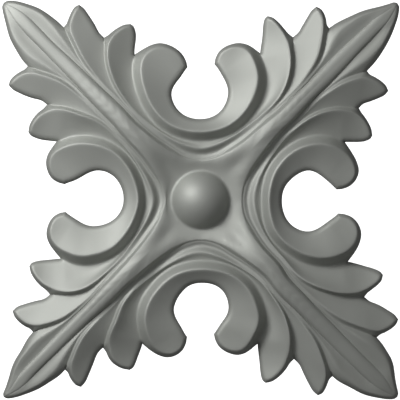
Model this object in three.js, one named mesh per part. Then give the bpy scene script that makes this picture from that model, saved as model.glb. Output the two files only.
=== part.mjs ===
// A square rosette: four acanthus leaves set on the diagonals round a domed boss, with a horseshoe hook
// between each two leaves. It is moulded in one piece with a flat back.
//
// Millimetres, +Z up. The back is the plane y = 0, the carving faces -Y, and the origin is the centre of
// the back. The carving is drawn on squares: x across, y up and z off the back. One half leaf is drawn
// once, beside the bay that runs up from the boss, and is turned and mirrored into its eight places.
// The hand-carved differences between the eight are then pulled in.

import * as THREE from 'three';

// Overall sizes
const SPAN = 165;
const RELIEF = 12.9;
const BOSS_DIAMETER = 24.2;
const BOSS_RISE = 8.1;
const EDGE_ROUNDING = 1.3;
const HOOK_EDGE_ROUNDING = 1.9;

// The drawing's squares, and the height of its highest carving in them
const HALF_SQUARES = 198;
const RELIEF_SQUARES = 31;
const SQUARE = SPAN / 2 / HALF_SQUARES;
const LEVEL = RELIEF / RELIEF_SQUARES;
const BOSS_RADIUS = BOSS_DIAMETER / 2 / SQUARE;

// How finely the drawing is cut into facets
const ARC_STATIONS = 2;
const LAST_STATION = 9;
const ARC_STEPS = 4;
const VALLEY_STEPS = 7;
const SCROLL_STEPS = 9;
const LOBE_STEPS = 4;
const BLADE_STEPS = 7;
const BOSS_RINGS = 5;
const NOTCH_STEP = ARC_STEPS + VALLEY_STEPS;

const FINISH = { color: 0x989b92, roughness: 0.42, metalness: 0 };

// Lines of the half leaf, from the middle of the bay outwards. Each list has a point at every station,
// and its free part runs on from the last station, which is at a notch, to the end of its own lobe.
const HOOK_EDGE = {
  valley: [
    [0, 82, 16], [7, 82.8, 15.9], [13.5, 85.4, 15.7], [19, 89.6, 15.4], [23.5, 94.8, 15],
    [26.8, 100.8, 14.5], [28.3, 107.3, 14], [27.2, 113.7, 13.4], [24.3, 119.5, 12.8], [20.8, 124.6, 12.2],
  ],
  free: [[18.3, 128, 11.8], [16, 130.8, 11.4], [14, 133, 11], [12.5, 134.5, 10.5]],
};
const HOOK_RIDGE = {
  valley: [
    [0, 69, 28], [12.7, 70.3, 27.8], [25.5, 74.3, 27.6], [37, 81.5, 27.4], [45.8, 90.5, 27.2],
    [51.7, 100.5, 26.9], [55, 110.7, 26.4], [56.5, 120.8, 25.4], [55.5, 131, 23.9], [51.5, 141, 21.5],
  ],
  free: [
    [46.3, 147, 19.4], [38, 151, 17.4], [28, 150.8, 15.8], [20, 146, 14.4], [15.5, 140, 12.8],
    [12.5, 134.5, 10.5],
  ],
};
const HOOK_FOOT = {
  valley: [
    [0, 59.5, 17.6], [14.5, 61, 17.7], [29.2, 65.6, 17.8], [42.8, 74.2, 17.7], [52.8, 84.7, 17.3],
    [60, 95.7, 16.7], [64.5, 107.5, 16], [66.5, 119.5, 14.7], [65.5, 132.5, 12.6], [60.5, 145.5, 9.5],
  ],
};
const SCROLL_BACK = [
  [57, 148, 9.3], [51, 152, 9], [44, 155.5, 9], [35, 157, 9], [25, 154, 9.3], [17.5, 148, 9.7],
  [13.5, 140.5, 10], [12.5, 134.5, 10.5],
];
const SECOND_FRONT = [[60.8, 153, 8.8], [61.2, 163, 8.5], [62.3, 173, 8.5], [64.8, 181, 8.7], [68, 184, 9]];
const SECOND_BACK = [[90, 165.8, 9.5], [86, 171.3, 8.7], [80, 178, 8.5], [74, 182.5, 8.7], [68, 184, 9]];
const SECOND_RIDGE = {
  valley: [
    [0, 53, 19.4], [17, 56.8, 20], [33.5, 64.8, 21.2], [49, 75, 22.4], [61.7, 85, 23.6],
    [71.8, 95.2, 24.4], [80.3, 106.5, 24.7], [87, 120.5, 24.3], [90.5, 136.5, 22.6], [89.5, 151.5, 19.6],
  ],
  free: [[87, 159.5, 17.6], [82.3, 169.5, 15.4], [76, 177.8, 13], [68, 184, 9]],
};
const SECOND_FOOT = {
  valley: [
    [0, 46.5, 15.8], [16, 49.3, 16.6], [31.8, 58, 18.4], [46.6, 67.7, 19.8], [60, 78.5, 20.8],
    [71.5, 89.7, 21.2], [81.3, 102, 20.8], [89.7, 117, 19.3], [94.3, 137, 16.2], [94, 162, 11],
  ],
};
const FIRST_FRONT = [[99, 167, 9], [103, 175, 8.5], [107.5, 184, 8.5], [111, 190, 8.7], [115.5, 193.8, 9]];
const FIRST_BACK = [
  [128.3, 175.5, 12.5], [126.8, 180.5, 10], [124, 186.7, 9], [120.3, 191.3, 8.8], [115.5, 193.8, 9],
];
const FIRST_RIDGE = {
  leaves: 3,
  valley: [
    [60.2, 76.2, 21.6], [72.4, 87.4, 22.6], [84.6, 100.2, 23.4], [100.8, 118, 23.3], [115.8, 141, 22],
    [123, 162, 19.6],
  ],
  free: [[124, 170, 18], [123.2, 178, 16], [120.6, 185.5, 13.2], [115.5, 193.8, 9]],
};
const FIRST_FOOT = { leaves: 6, valley: [[106, 116.6, 22], [121, 141, 18], [131, 171.8, 12.8]] };
const BLADE_EDGE = [
  [138, 177.5, 12], [150, 184.5, 11.6], [163, 191, 10.8], [177, 195.5, 9.6], [187, 198, 8.4],
  [193.5, 198.6, 7.6], [197, 197, 7.5],
];
const BLADE_CREST = {
  leaves: 6,
  valley: [[105.2, 114.8, 22.6], [121.5, 137.5, 19], [133.5, 163, 16]],
  free: [
    [138.5, 169.5, 15.7], [145, 175, 15.4], [152.5, 180.4, 14.8], [163, 186, 13.7], [174, 190, 12.3],
    [186, 194, 10.4], [197, 197, 7.5],
  ],
};
const GROOVE = {
  valley: [
    [0, 42.5, 17.2], [16, 45.3, 17.8], [31.5, 53.5, 19.4], [46, 62, 21.8], [60, 72.6, 23.6],
    [74, 84.8, 24.4], [88, 97.2, 23.8], [104.5, 113, 21.6], [122, 129.5, 18.9], [140, 146.5, 16.6],
  ],
  free: [[154.1, 159.8, 14.3], [168.9, 173.4, 12.2], [183.4, 187.1, 10], [197, 197, 7.5]],
};
// Share of the way from the groove to the midline at which the star's rim runs, and the rim's height
const RIM = {
  valley: [
    [0.19, 17], [0.17, 18.8], [0.17, 22.6], [0.22, 25.9], [0.28, 28], [0.28, 29], [0.28, 27.6],
    [0.28, 25], [0.28, 21.6], [0.28, 18.8],
  ],
  free: [[0.28, 16.4], [0.28, 14], [0.28, 11.6], [0.28, 7.5]],
};
// The midline from the boss to the tip: distance along the diagonal and height, with one at each
// station after the arc round the boss
const FIELD_HEIGHT = 15.6;
const MIDLINE = {
  valley: [
    [48, 18.5], [69.3, 26.6], [92, 31], [121.6, 29.7], [147, 26.6], [175.4, 22.6], [201, 19.3],
  ],
  free: [[226, 16.8], [247, 14.6], [265, 11.9], [278.6, 7.5]],
};

// Where the hand-carved bays and half leaves depart from the drawing. A bay's marks are distances from
// the centre along its middle.
const DRAWN_BAY = {
  rim: 40,
  secondRidge: SECOND_RIDGE.valley[0][1],
  secondFoot: SECOND_FOOT.valley[0][1],
  hookFoot: HOOK_FOOT.valley[0][1],
  hookRidge: HOOK_RIDGE.valley[0][1],
  hookFloor: HOOK_EDGE.valley[0][1],
};
const BAYS = {
  right: { rim: 42, secondRidge: 54, secondFoot: 46.5, hookFoot: 60, hookRidge: 68.5, hookFloor: 81.5 },
  top: { rim: 40, secondRidge: 52.5, secondFoot: 46.5, hookFoot: 59.5, hookRidge: 69.5, hookFloor: 81 },
  left: { rim: 36, secondRidge: 48.5, secondFoot: 42, hookFoot: 54.5, hookRidge: 62.5, hookFloor: 77 },
  bottom: { rim: 40.5, secondRidge: 53, secondFoot: 44.5, hookFoot: 59.5, hookRidge: 69.5, hookFloor: 83 },
};
// A half leaf's marks are points on its ridges and outline, and DRAWN gives where the drawing has them
const DRAWN = {
  hookCorner: HOOK_EDGE.valley[3],
  hookSide: [28.3, 106],
  hookBend: HOOK_RIDGE.valley[4],
  hookCrest: HOOK_RIDGE.valley[7],
  secondCrest: SECOND_RIDGE.valley[7],
  starRim: [71.5, 79.5],
  scrollLip: HOOK_EDGE.free[0],
  scrollTip: HOOK_EDGE.free.at(-1),
  scrollTop: SCROLL_BACK[3],
  hookNotch: HOOK_FOOT.valley.at(-1),
  secondFront: SECOND_FRONT[1],
  secondTip: SECOND_FRONT.at(-1),
  secondBack: SECOND_BACK[1],
  secondNotch: SECOND_FOOT.valley.at(-1),
  firstFront: FIRST_FRONT[1],
  firstTip: FIRST_FRONT.at(-1),
  firstBack: FIRST_BACK[1],
  firstNotch: FIRST_FOOT.valley.at(-1),
  bladeRoot: BLADE_EDGE[1],
  bladeSide: BLADE_EDGE[2],
  bladeEnd: BLADE_EDGE[4],
};
const HALF_LEAVES = [
  {
    bay: 'right', across: [0, 1], up: [1, 0],
    hookCorner: [19.5, 89.5], hookSide: [29.5, 107], hookBend: [46, 90.5], hookCrest: [55.5, 120.5],
    secondCrest: [86.5, 120], scrollLip: [17, 129.5], scrollTip: [10.5, 136], scrollTop: [30, 158.5],
    hookNotch: [58, 144.5], secondFront: [58, 159], secondTip: [64.5, 171.8], secondBack: [83, 164.5],
    secondNotch: [92, 158.5], firstFront: [98.5, 170], firstTip: [109, 188], firstBack: [123, 174.5],
    firstNotch: [129, 166.5], bladeRoot: [148, 182], bladeSide: [162.5, 190], bladeEnd: [187, 198.5],
  },
  {
    bay: 'top', across: [1, 0], up: [0, 1],
    hookCorner: [20, 89], hookSide: [27.5, 106], hookBend: [45.5, 90.5], hookCrest: [57, 121.5],
    secondCrest: [87, 120], scrollLip: [19, 129], scrollTip: [14, 136], scrollTop: [37, 157],
    hookNotch: [59.5, 147], secondFront: [62, 164], secondTip: [67, 184], secondBack: [84, 171],
    secondNotch: [92.5, 163], firstFront: [102, 174.5], firstTip: [116, 193.5], firstBack: [126, 180],
    firstNotch: [128.5, 172], bladeRoot: [149, 183.5], bladeSide: [163, 189.5], bladeEnd: [188, 196],
  },
  {
    bay: 'top', across: [-1, 0], up: [0, 1],
    hookCorner: [21, 88.5], hookSide: [29, 105], hookBend: [46, 90.5], hookCrest: [58, 120.5],
    secondCrest: [87, 121], scrollLip: [18, 125.5], scrollTip: [13, 133], scrollTop: [40, 157],
    hookNotch: [66, 145.5], secondFront: [64.5, 160.5], secondTip: [70, 176], secondBack: [88, 168.5],
    secondNotch: [96.5, 162.5], firstFront: [105.5, 175.5], firstTip: [121.5, 195.5],
    firstBack: [132, 181], firstNotch: [137, 173], bladeRoot: [151, 185], bladeSide: [162, 192],
    bladeEnd: [187, 199.5],
  },
  {
    bay: 'left', across: [0, 1], up: [-1, 0],
    hookCorner: [22.5, 85.5], hookSide: [29.5, 103], hookBend: [48, 87.5], hookCrest: [56, 119],
    secondCrest: [84.5, 119.5], scrollLip: [18.5, 127.5], scrollTip: [16, 136], scrollTop: [38, 154.5],
    hookNotch: [58.5, 144], secondFront: [60, 158], secondTip: [68, 172], secondBack: [87.5, 162.5],
    secondNotch: [95.5, 153.5], firstFront: [102, 169.5], firstTip: [115, 192], firstBack: [128.5, 180],
    firstNotch: [134, 173], bladeRoot: [150, 184.5], bladeSide: [162.5, 191], bladeEnd: [187.5, 197.5],
  },
  {
    bay: 'left', across: [0, -1], up: [-1, 0],
    hookCorner: [20, 87.5], hookSide: [26, 107], hookBend: [47, 88], hookCrest: [55.5, 118],
    secondCrest: [88, 116], starRim: [73, 78], scrollLip: [17, 128], scrollTip: [12, 135],
    scrollTop: [35, 154], hookNotch: [58.5, 140], secondFront: [60, 155.5], secondTip: [66, 171],
    secondBack: [86, 160], secondNotch: [94.5, 150.5], firstFront: [101, 165.5], firstTip: [111, 188],
    firstBack: [126.5, 175.5], firstNotch: [132, 167.5], bladeRoot: [150.5, 179.5],
    bladeSide: [163, 187], bladeEnd: [188, 195],
  },
  {
    bay: 'bottom', across: [-1, 0], up: [0, -1],
    hookCorner: [17.5, 91], hookSide: [26.5, 108], hookBend: [44, 92], hookCrest: [55, 120],
    secondCrest: [83, 119], starRim: [69, 82], scrollLip: [17.5, 130], scrollTip: [13.5, 137],
    scrollTop: [34, 157.5], hookNotch: [58, 144], secondFront: [62.5, 156.5], secondTip: [71, 169.8],
    secondBack: [91.5, 159], secondNotch: [97.5, 147.5], firstFront: [107, 163.5],
    firstTip: [119.5, 187], firstBack: [131, 176.5], firstNotch: [135.5, 170], bladeRoot: [150.5, 182],
    bladeSide: [162, 189], bladeEnd: [187, 198],
  },
  {
    bay: 'bottom', across: [1, 0], up: [0, -1],
    hookCorner: [21, 89.5], hookSide: [28, 107], hookBend: [47.5, 89.5], hookCrest: [57.5, 120],
    secondCrest: [85.5, 120.5], starRim: [69, 82], scrollLip: [18, 127], scrollTip: [13.5, 134],
    scrollTop: [36, 155], hookNotch: [57, 144], secondFront: [59, 162], secondTip: [65, 183],
    secondBack: [85.5, 169.5], secondNotch: [93.5, 159], firstFront: [103, 173.5],
    firstTip: [117.5, 195.5], firstBack: [127, 183.5], firstNotch: [132, 176.5],
    bladeRoot: [150.5, 188], bladeSide: [163, 194.5], bladeEnd: [187.5, 199.5],
  },
  {
    bay: 'right', across: [0, -1], up: [1, 0],
    hookCorner: [23, 89], hookSide: [31.5, 107], hookBend: [47, 91], hookCrest: [57, 122],
    secondCrest: [88, 121.5], starRim: [73, 78], scrollLip: [19, 131], scrollTip: [13.5, 138],
    scrollTop: [34, 161], hookNotch: [61.5, 147.5], secondFront: [66, 164], secondTip: [75, 182.5],
    secondBack: [89.5, 171.5], secondNotch: [97, 164], firstFront: [104.5, 178], firstTip: [119.5, 198],
    firstBack: [132.5, 184.5], firstNotch: [137.5, 176.5], bladeRoot: [151, 186.5],
    bladeSide: [162.5, 192.5], bladeEnd: [187.5, 196.5],
  },
];
// Distances along the diagonal at which the midline stays where it is drawn
const FIXED_ON_MIDLINE = [40, 80, 120, 160, 200, 240, 278.6];
// How far a mark pulls, in squares, and how much it gives way to the marks beside it
const REACH = 16;
const SOFTNESS = 0.02;

const { clamp, lerp, smoothstep, degToRad } = THREE.MathUtils;

function stationOf(step) {
  if (step <= ARC_STEPS) return (step / ARC_STEPS) * ARC_STATIONS;
  return ARC_STATIONS + ((step - ARC_STEPS) / VALLEY_STEPS) * (LAST_STATION - ARC_STATIONS);
}

// A smooth curve through drawn points, asked for by the number of the point
class Through {
  constructor(points) {
    this.spans = points.length - 1;
    const knots = points.map(([x, y, z = 0]) => new THREE.Vector3(x, y, z));
    this.curve = new THREE.CatmullRomCurve3(knots, false, 'centripetal');
  }

  at(place) {
    return this.curve.getPoint(place / this.spans);
  }

  // Points at even distances from a place to the end, closing up towards the end
  evenly(start, steps) {
    const fine = 120;
    const trail = [];
    for (let i = 0; i <= fine; i += 1) trail.push(this.at(lerp(start, this.spans, i / fine)));
    const lengths = [0];
    for (let i = 1; i <= fine; i += 1) lengths.push(lengths[i - 1] + trail[i].distanceTo(trail[i - 1]));
    const points = [];
    for (let step = 1; step <= steps; step += 1) {
      const share = 1 - (1 - step / steps) ** 1.25;
      const target = share * lengths[fine];
      let i = 1;
      while (i < fine && lengths[i] < target) i += 1;
      const part = (target - lengths[i - 1]) / (lengths[i] - lengths[i - 1]);
      points.push(trail[i - 1].clone().lerp(trail[i], part));
    }
    return points;
  }
}

// The points of a line as far as its notch. A line that leaves another one at some station shares its
// points up to there, and one that starts in the middle of the bay crosses it as its own mirror image.
function valleyPoints(line, trunk) {
  const points = [];
  const knots = [...line.valley, ...(line.free ?? [])];
  let before = 1;
  if (trunk) {
    for (let step = 0; stationOf(step) <= line.leaves + 1e-9; step += 1) points.push(trunk[step].clone());
    knots.unshift(points.at(-1).toArray());
    before = -line.leaves;
  } else {
    const [x, ...rest] = line.valley[1];
    knots.unshift([-x, ...rest]);
  }
  const curve = new Through(knots);
  for (let step = points.length; step <= NOTCH_STEP; step += 1) {
    points.push(curve.at(stationOf(step) + before));
  }
  return { points, curve, joint: line.valley.length };
}

// A line that runs smoothly through its notch
function flowing(line, steps, trunk) {
  const { points, curve, joint } = valleyPoints(line, trunk);
  return [...points, ...curve.evenly(joint, steps)];
}

// A line that turns a corner at its notch into the outline of a lobe
function cornered(points, outline, steps) {
  return [...points, ...new Through([points[NOTCH_STEP].toArray(), ...outline]).evenly(0, steps)];
}

function midline(steps) {
  const points = [];
  const start = [BOSS_RADIUS, FIELD_HEIGHT];
  const knots = [[BOSS_RADIUS / 2, FIELD_HEIGHT], start, ...MIDLINE.valley, ...MIDLINE.free];
  const curve = new Through(knots);
  for (let step = 0; step < ARC_STEPS; step += 1) {
    const angle = Math.PI / 2 - (stationOf(step) / ARC_STATIONS) * (Math.PI / 4);
    const [x, y] = [BOSS_RADIUS * Math.cos(angle), BOSS_RADIUS * Math.sin(angle)];
    points.push(new THREE.Vector3(x, y, FIELD_HEIGHT));
  }
  const place = ({ x, y }) => new THREE.Vector3(x * Math.SQRT1_2, x * Math.SQRT1_2, y);
  for (let step = ARC_STEPS; step <= NOTCH_STEP; step += 1) {
    points.push(place(curve.at(stationOf(step) - ARC_STATIONS + 1)));
  }
  return [...points, ...curve.evenly(MIDLINE.valley.length + 1, steps).map(place)];
}

function rimLine(groove, middle, steps) {
  const curve = new Through([...RIM.valley, ...RIM.free]);
  return groove.map((point, step) => {
    const past = LAST_STATION + ((step - NOTCH_STEP) / steps) * RIM.free.length;
    const { x: share, y: height } = curve.at(step <= NOTCH_STEP ? stationOf(step) : past);
    const rim = point.clone().lerp(middle[step], share);
    rim.z = step === groove.length - 1 ? point.z : height;
    return rim;
  });
}

const widthOf = (from, to) => Math.hypot(to.x - from.x, to.y - from.y);
const QUARTER_TURN = (share) => 1 - Math.cos((share * Math.PI) / 2);
const RIDGE_ROLL = 1.8;
const WALL_ROLL = 2.2;
const WALL_FILLET = 3;
const FIELD_LEAN = 0.75;

// A rise from 0 to 1 that starts and ends level, with the lengths of its two roundings
function ramp(width, share, startRoll, endRoll) {
  const fit = Math.min(1, width / (startRoll + endRoll));
  const start = Math.max((startRoll * fit) / Math.max(width, 1e-6), 1e-6);
  const end = Math.max((endRoll * fit) / Math.max(width, 1e-6), 1e-6);
  const slope = 1 / (1 - (start + end) / 2);
  if (share > 1 - end) return 1 - (slope * (1 - share) ** 2) / (2 * end);
  if (share < start) return (slope * share ** 2) / (2 * start);
  return slope * (share - start / 2);
}

// A hollow rise from 0 to 1 that rolls level at its ridge
function hollowRise(width, share, power) {
  const roll = clamp(RIDGE_ROLL / Math.max(width, 1e-6), 0.02, 0.5);
  const straight = 1 - roll;
  const slope = power * straight ** (power - 1);
  const top = straight ** power + (slope * roll) / 2;
  if (share <= straight) return share ** power / top;
  const past = share - straight;
  return (straight ** power + slope * (past - past ** 2 / (2 * roll))) / top;
}

// A face rises from its foot or free edge to a ridge. A free edge is rounded over.
function face(foot, ridge, shares, power, freeFrom = NOTCH_STEP, rounding = EDGE_ROUNDING) {
  return foot.map((low, step) => {
    const high = ridge[step];
    const width = widthOf(low, high);
    const free = clamp((step - freeFrom) / 2, 0, 1);
    const roll = Math.min(rounding / SQUARE, width / 2) * free;
    return shares.map((share) => {
      const point = low.clone().lerp(high, share);
      point.z = lerp(low.z + roll, high.z, hollowRise(width, share, power));
      const inside = roll > 0 ? 1 - Math.min(1, (share * width) / roll) : 0;
      point.z -= roll * (1 - Math.sqrt(1 - inside * inside));
      return point;
    });
  });
}

// A wall drops from a ridge to a foot, or rolls over to a free edge
function wall(ridge, foot, shares) {
  return ridge.map((high, step) => {
    const low = foot[step];
    const width = widthOf(high, low);
    const free = clamp((step - NOTCH_STEP) / 2, 0, 1);
    return shares.map((share) => {
      const point = high.clone().lerp(low, share);
      const dropped = ramp(width, share, WALL_ROLL, WALL_FILLET);
      point.z = lerp(high.z, low.z, lerp(dropped, QUARTER_TURN(share), free));
      return point;
    });
  });
}

// A sheet joins two lines by a ramp
function sheet(from, to, shares, startRoll, endRoll) {
  return from.map((start, step) => shares.map((share) => {
    const point = start.clone().lerp(to[step], share);
    point.z = lerp(start.z, to[step].z, ramp(widthOf(start, to[step]), share, startRoll, endRoll));
    return point;
  }));
}

// The star runs from its rim inwards so that it crosses the midline without a crease
function starRows(rim, middle, shares) {
  const away = middle.map(({ x, y }) => Math.hypot(x, y));
  return rim.map((low, step) => {
    const high = middle[step];
    const at = Math.max(step, ARC_STEPS);
    const [before, after] = [Math.max(at - 1, ARC_STEPS), Math.min(at + 1, rim.length - 1)];
    const slope = (middle[after].z - middle[before].z) / (away[after] - away[before]);
    const across = ((high.x - low.x) * high.x + (high.y - low.y) * high.y) / away[step];
    const lean = lerp(FIELD_LEAN, 1, clamp((step - ARC_STEPS) / 2, 0, 1));
    const reach = (across * slope) / lean;
    return shares.map((share) => {
      const point = low.clone().lerp(high, share);
      const s = share ** lean;
      const risen = 3 * s ** 2 - 2 * s ** 3;
      point.z = lerp(low.z, high.z, risen) + (s ** 3 - s ** 2) * reach;
      return point;
    });
  });
}

function bossRows(foot) {
  const footAngle = degToRad(65);
  const drop = Math.cos(footAngle);
  const rise = BOSS_RISE / LEVEL;
  return foot.slice(0, ARC_STEPS + 1).map((start) => {
    const row = [];
    for (let ring = 0; ring <= BOSS_RINGS; ring += 1) {
      const angle = footAngle * (1 - ring / BOSS_RINGS);
      const share = Math.sin(angle) / Math.sin(footAngle);
      const height = start.z + (rise * (Math.cos(angle) - drop)) / (1 - drop);
      row.push(new THREE.Vector3(start.x * share, start.y * share, height));
    }
    return row;
  });
}

function drawHalfLeaf() {
  const hookEdge = flowing(HOOK_EDGE, SCROLL_STEPS);
  const hookRidge = flowing(HOOK_RIDGE, SCROLL_STEPS);
  const hookFoot = valleyPoints(HOOK_FOOT).points;
  const scrollBack = cornered(hookFoot, SCROLL_BACK, SCROLL_STEPS);
  const secondFront = cornered(hookFoot, SECOND_FRONT, LOBE_STEPS);
  const secondRidge = flowing(SECOND_RIDGE, LOBE_STEPS);
  const secondFoot = valleyPoints(SECOND_FOOT).points;
  const secondBack = cornered(secondFoot, SECOND_BACK, LOBE_STEPS);
  const firstFront = cornered(secondFoot, FIRST_FRONT, LOBE_STEPS);
  const firstRidge = flowing(FIRST_RIDGE, LOBE_STEPS, secondFoot);
  const groove = flowing(GROOVE, BLADE_STEPS);
  const firstFoot = valleyPoints(FIRST_FOOT, groove).points;
  const firstBack = cornered(firstFoot, FIRST_BACK, LOBE_STEPS);
  const bladeEdge = cornered(firstFoot, BLADE_EDGE, BLADE_STEPS);
  const bladeCrest = flowing(BLADE_CREST, BLADE_STEPS, groove);
  const middle = midline(BLADE_STEPS);
  const rim = rimLine(groove, middle, BLADE_STEPS);
  const strips = [
    face(hookEdge, hookRidge, [0, 0.05, 0.14, 0.45, 0.8, 1], 1.3, -2, HOOK_EDGE_ROUNDING),
    wall(hookRidge, scrollBack, [0, 0.25, 0.68, 1]),
    face(secondFront, secondRidge, [0, 0.12, 0.45, 0.82, 1], 1.1),
    wall(secondRidge, secondBack, [0, 0.25, 0.68, 1]),
    face(firstFront, firstRidge, [0, 0.14, 0.55, 1], 1.1),
    wall(firstRidge, firstBack, [0, 0.3, 1]),
    face(bladeEdge, bladeCrest, [0, 0.3, 1], 1),
    sheet(bladeCrest, groove, [0, 0.35, 0.8, 1], 4.5, 1.5),
    sheet(groove, rim, [0, 1], 1, 1.5),
    starRows(rim, middle, [0, 0.35, 0.7, 1]),
    bossRows(middle),
  ];
  const edge = [
    ...hookEdge,
    ...scrollBack.slice(NOTCH_STEP, -1).reverse(),
    ...secondFront.slice(NOTCH_STEP + 1),
    ...secondBack.slice(NOTCH_STEP, -1).reverse(),
    ...firstFront.slice(NOTCH_STEP + 1),
    ...firstBack.slice(NOTCH_STEP, -1).reverse(),
    ...bladeEdge.slice(NOTCH_STEP + 1),
  ];
  return { strips, edge };
}

// A drawn point of a half leaf at its place in the whole
function placed([x, y], leaf) {
  return [x * leaf.across[0] + y * leaf.up[0], x * leaf.across[1] + y * leaf.up[1]];
}

// Solves a square set of equations for several right sides at once, by elimination
function solved(matrix, rightSides) {
  const rows = matrix.map((row, i) => [...row, ...rightSides[i]]);
  const count = matrix.length;
  for (let pivot = 0; pivot < count; pivot += 1) {
    let best = pivot;
    for (let i = pivot + 1; i < count; i += 1) {
      if (Math.abs(rows[i][pivot]) > Math.abs(rows[best][pivot])) best = i;
    }
    [rows[pivot], rows[best]] = [rows[best], rows[pivot]];
    for (let i = pivot + 1; i < count; i += 1) {
      const factor = rows[i][pivot] / rows[pivot][pivot];
      for (let j = pivot; j < rows[i].length; j += 1) rows[i][j] -= factor * rows[pivot][j];
    }
  }
  for (let pivot = count - 1; pivot >= 0; pivot -= 1) {
    for (let j = count; j < rows[pivot].length; j += 1) {
      for (let i = pivot + 1; i < count; i += 1) rows[pivot][j] -= rows[pivot][i] * rows[i][j];
      rows[pivot][j] /= rows[pivot][pivot];
    }
  }
  return rows.map((row) => row.slice(count));
}

// Pulls the drawing to the carved marks of every half leaf, smoothly between them
class HandCarving {
  constructor() {
    this.at = [];
    this.by = [];
    HALF_LEAVES.forEach((leaf, index) => {
      Object.entries(DRAWN).forEach(([name, drawn]) => this.add(drawn, leaf[name] ?? drawn, leaf));
      if (index % 2 === 0) {
        FIXED_ON_MIDLINE.forEach((distance) => {
          const point = [distance * Math.SQRT1_2, distance * Math.SQRT1_2];
          this.add(point, point, leaf);
        });
      } else {
        const bay = BAYS[leaf.bay];
        Object.entries(DRAWN_BAY).forEach(([name, drawn]) => this.add([0, drawn], [0, bay[name]], leaf));
        this.add([0, BOSS_RADIUS], [0, BOSS_RADIUS], leaf);
      }
    });
    const near = this.at.map(([x, y], i) => {
      const row = this.nearness(x, y);
      row[i] += SOFTNESS;
      return row;
    });
    this.weights = solved(near, this.by);
  }

  add(drawn, carved, leaf) {
    const from = placed(drawn, leaf);
    const to = placed(carved, leaf);
    this.at.push(from);
    this.by.push([to[0] - from[0], to[1] - from[1]]);
  }

  nearness(x, y) {
    return this.at.map(([markX, markY]) => {
      const gap = Math.hypot(x - markX, y - markY) / REACH;
      return Math.exp(-gap) * (1 + gap);
    });
  }

  pulled(x, y) {
    const hold = smoothstep(Math.hypot(x, y), BOSS_RADIUS, BOSS_RADIUS + 9);
    let [across, up] = [x, y];
    this.nearness(x, y).forEach((near, i) => {
      across += hold * near * this.weights[i][0];
      up += hold * near * this.weights[i][1];
    });
    return [across, up];
  }
}

// Collects the points once each and the triangles between them
class Shell {
  constructor() {
    this.positions = [];
    this.triangles = [];
    this.seen = new Map();
    this.carving = new HandCarving();
  }

  point(x, y, height, onBack) {
    const key = [x, y].map((value) => Math.round(value * 500)).join() + (onBack ? 'b' : 'f');
    if (!this.seen.has(key)) {
      const [across, up] = this.carving.pulled(x, y);
      this.seen.set(key, this.positions.length);
      this.positions.push([across * SQUARE, up * SQUARE, onBack ? 0 : height * LEVEL]);
    }
    return this.seen.get(key);
  }

  triangle(a, b, c) {
    if (a !== b && b !== c && c !== a) this.triangles.push([a, b, c]);
  }

  // A triangle of the carving, turned to face outwards
  carved(a, b, c) {
    const [p, q, r] = [a, b, c].map((index) => this.positions[index]);
    const turn = (q[0] - p[0]) * (r[1] - p[1]) - (q[1] - p[1]) * (r[0] - p[0]);
    if (turn > 0) this.triangle(a, b, c);
    else this.triangle(a, c, b);
  }

  strip(rows, leaf) {
    const grid = rows.map((row) => row.map((drawn) => {
      const [x, y] = placed([drawn.x, drawn.y], leaf);
      return this.point(x, y, drawn.z, false);
    }));
    for (let i = 1; i < grid.length; i += 1) {
      for (let j = 1; j < grid[i].length; j += 1) {
        const [a, b, c, d] = [grid[i - 1][j - 1], grid[i][j - 1], grid[i][j], grid[i - 1][j]];
        this.carved(a, b, c);
        this.carved(a, c, d);
      }
    }
  }

  // The side, from the edge of the carving square down to the back, and the back itself
  close(edge) {
    const front = edge.map(([x, y, height]) => this.point(x, y, height, false));
    const back = edge.map(([x, y]) => this.point(x, y, 0, true));
    edge.forEach((_, i) => {
      const next = (i + 1) % edge.length;
      this.triangle(back[i], back[next], front[next]);
      this.triangle(back[i], front[next], front[i]);
    });
    const contour = back.map((index) => new THREE.Vector2(...this.positions[index].slice(0, 2)));
    THREE.ShapeUtils.triangulateShape(contour, []).forEach(([a, b, c]) => {
      this.triangle(back[a], back[c], back[b]);
    });
  }

  geometry() {
    const geometry = new THREE.BufferGeometry();
    geometry.setAttribute('position', new THREE.Float32BufferAttribute(this.positions.flat(), 3));
    geometry.setIndex(this.triangles.flat());
    geometry.rotateX(Math.PI / 2);
    geometry.computeVertexNormals();
    return geometry;
  }
}

function makeRosette() {
  const { strips, edge } = drawHalfLeaf();
  const shell = new Shell();
  const outline = [];
  HALF_LEAVES.forEach((leaf, index) => {
    strips.forEach((rows) => shell.strip(rows, leaf));
    const side = edge.map((drawn) => [...placed([drawn.x, drawn.y], leaf), drawn.z]);
    // Every other half leaf runs from the tip back to its bay, and each shared end counts once
    outline.push(...(index % 2 === 0 ? side : side.reverse()).slice(0, -1));
  });
  shell.close(outline);
  const rosette = new THREE.Mesh(shell.geometry(), new THREE.MeshStandardMaterial(FINISH));
  rosette.name = 'rosette';
  return rosette;
}

const part = new THREE.Group();
part.name = 'rosette_part';
part.add(makeRosette());

export default part;
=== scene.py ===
"""A square moulded rosette: acanthus leaves, horseshoe hooks, a hollow-sided star and a domed boss.

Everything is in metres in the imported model's frame. The flat back is the plane y = 0, the carving
faces -Y, and the origin is the centre of the back.

The carving is drawn on squares: x across, y up and z off the back. One half leaf is drawn once,
beside the bay that runs up from the boss, and is turned and mirrored into its eight places. The
hand-carved differences between the eight are then pulled in. The carving is a free form that no
primitive comes near, so its sheet is laid between the drawn lines, and operators close and dress it.
"""

import logging
import math
from dataclasses import dataclass, field, fields

import bpy
import numpy as np
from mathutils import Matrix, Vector
from mathutils.kdtree import KDTree


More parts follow.
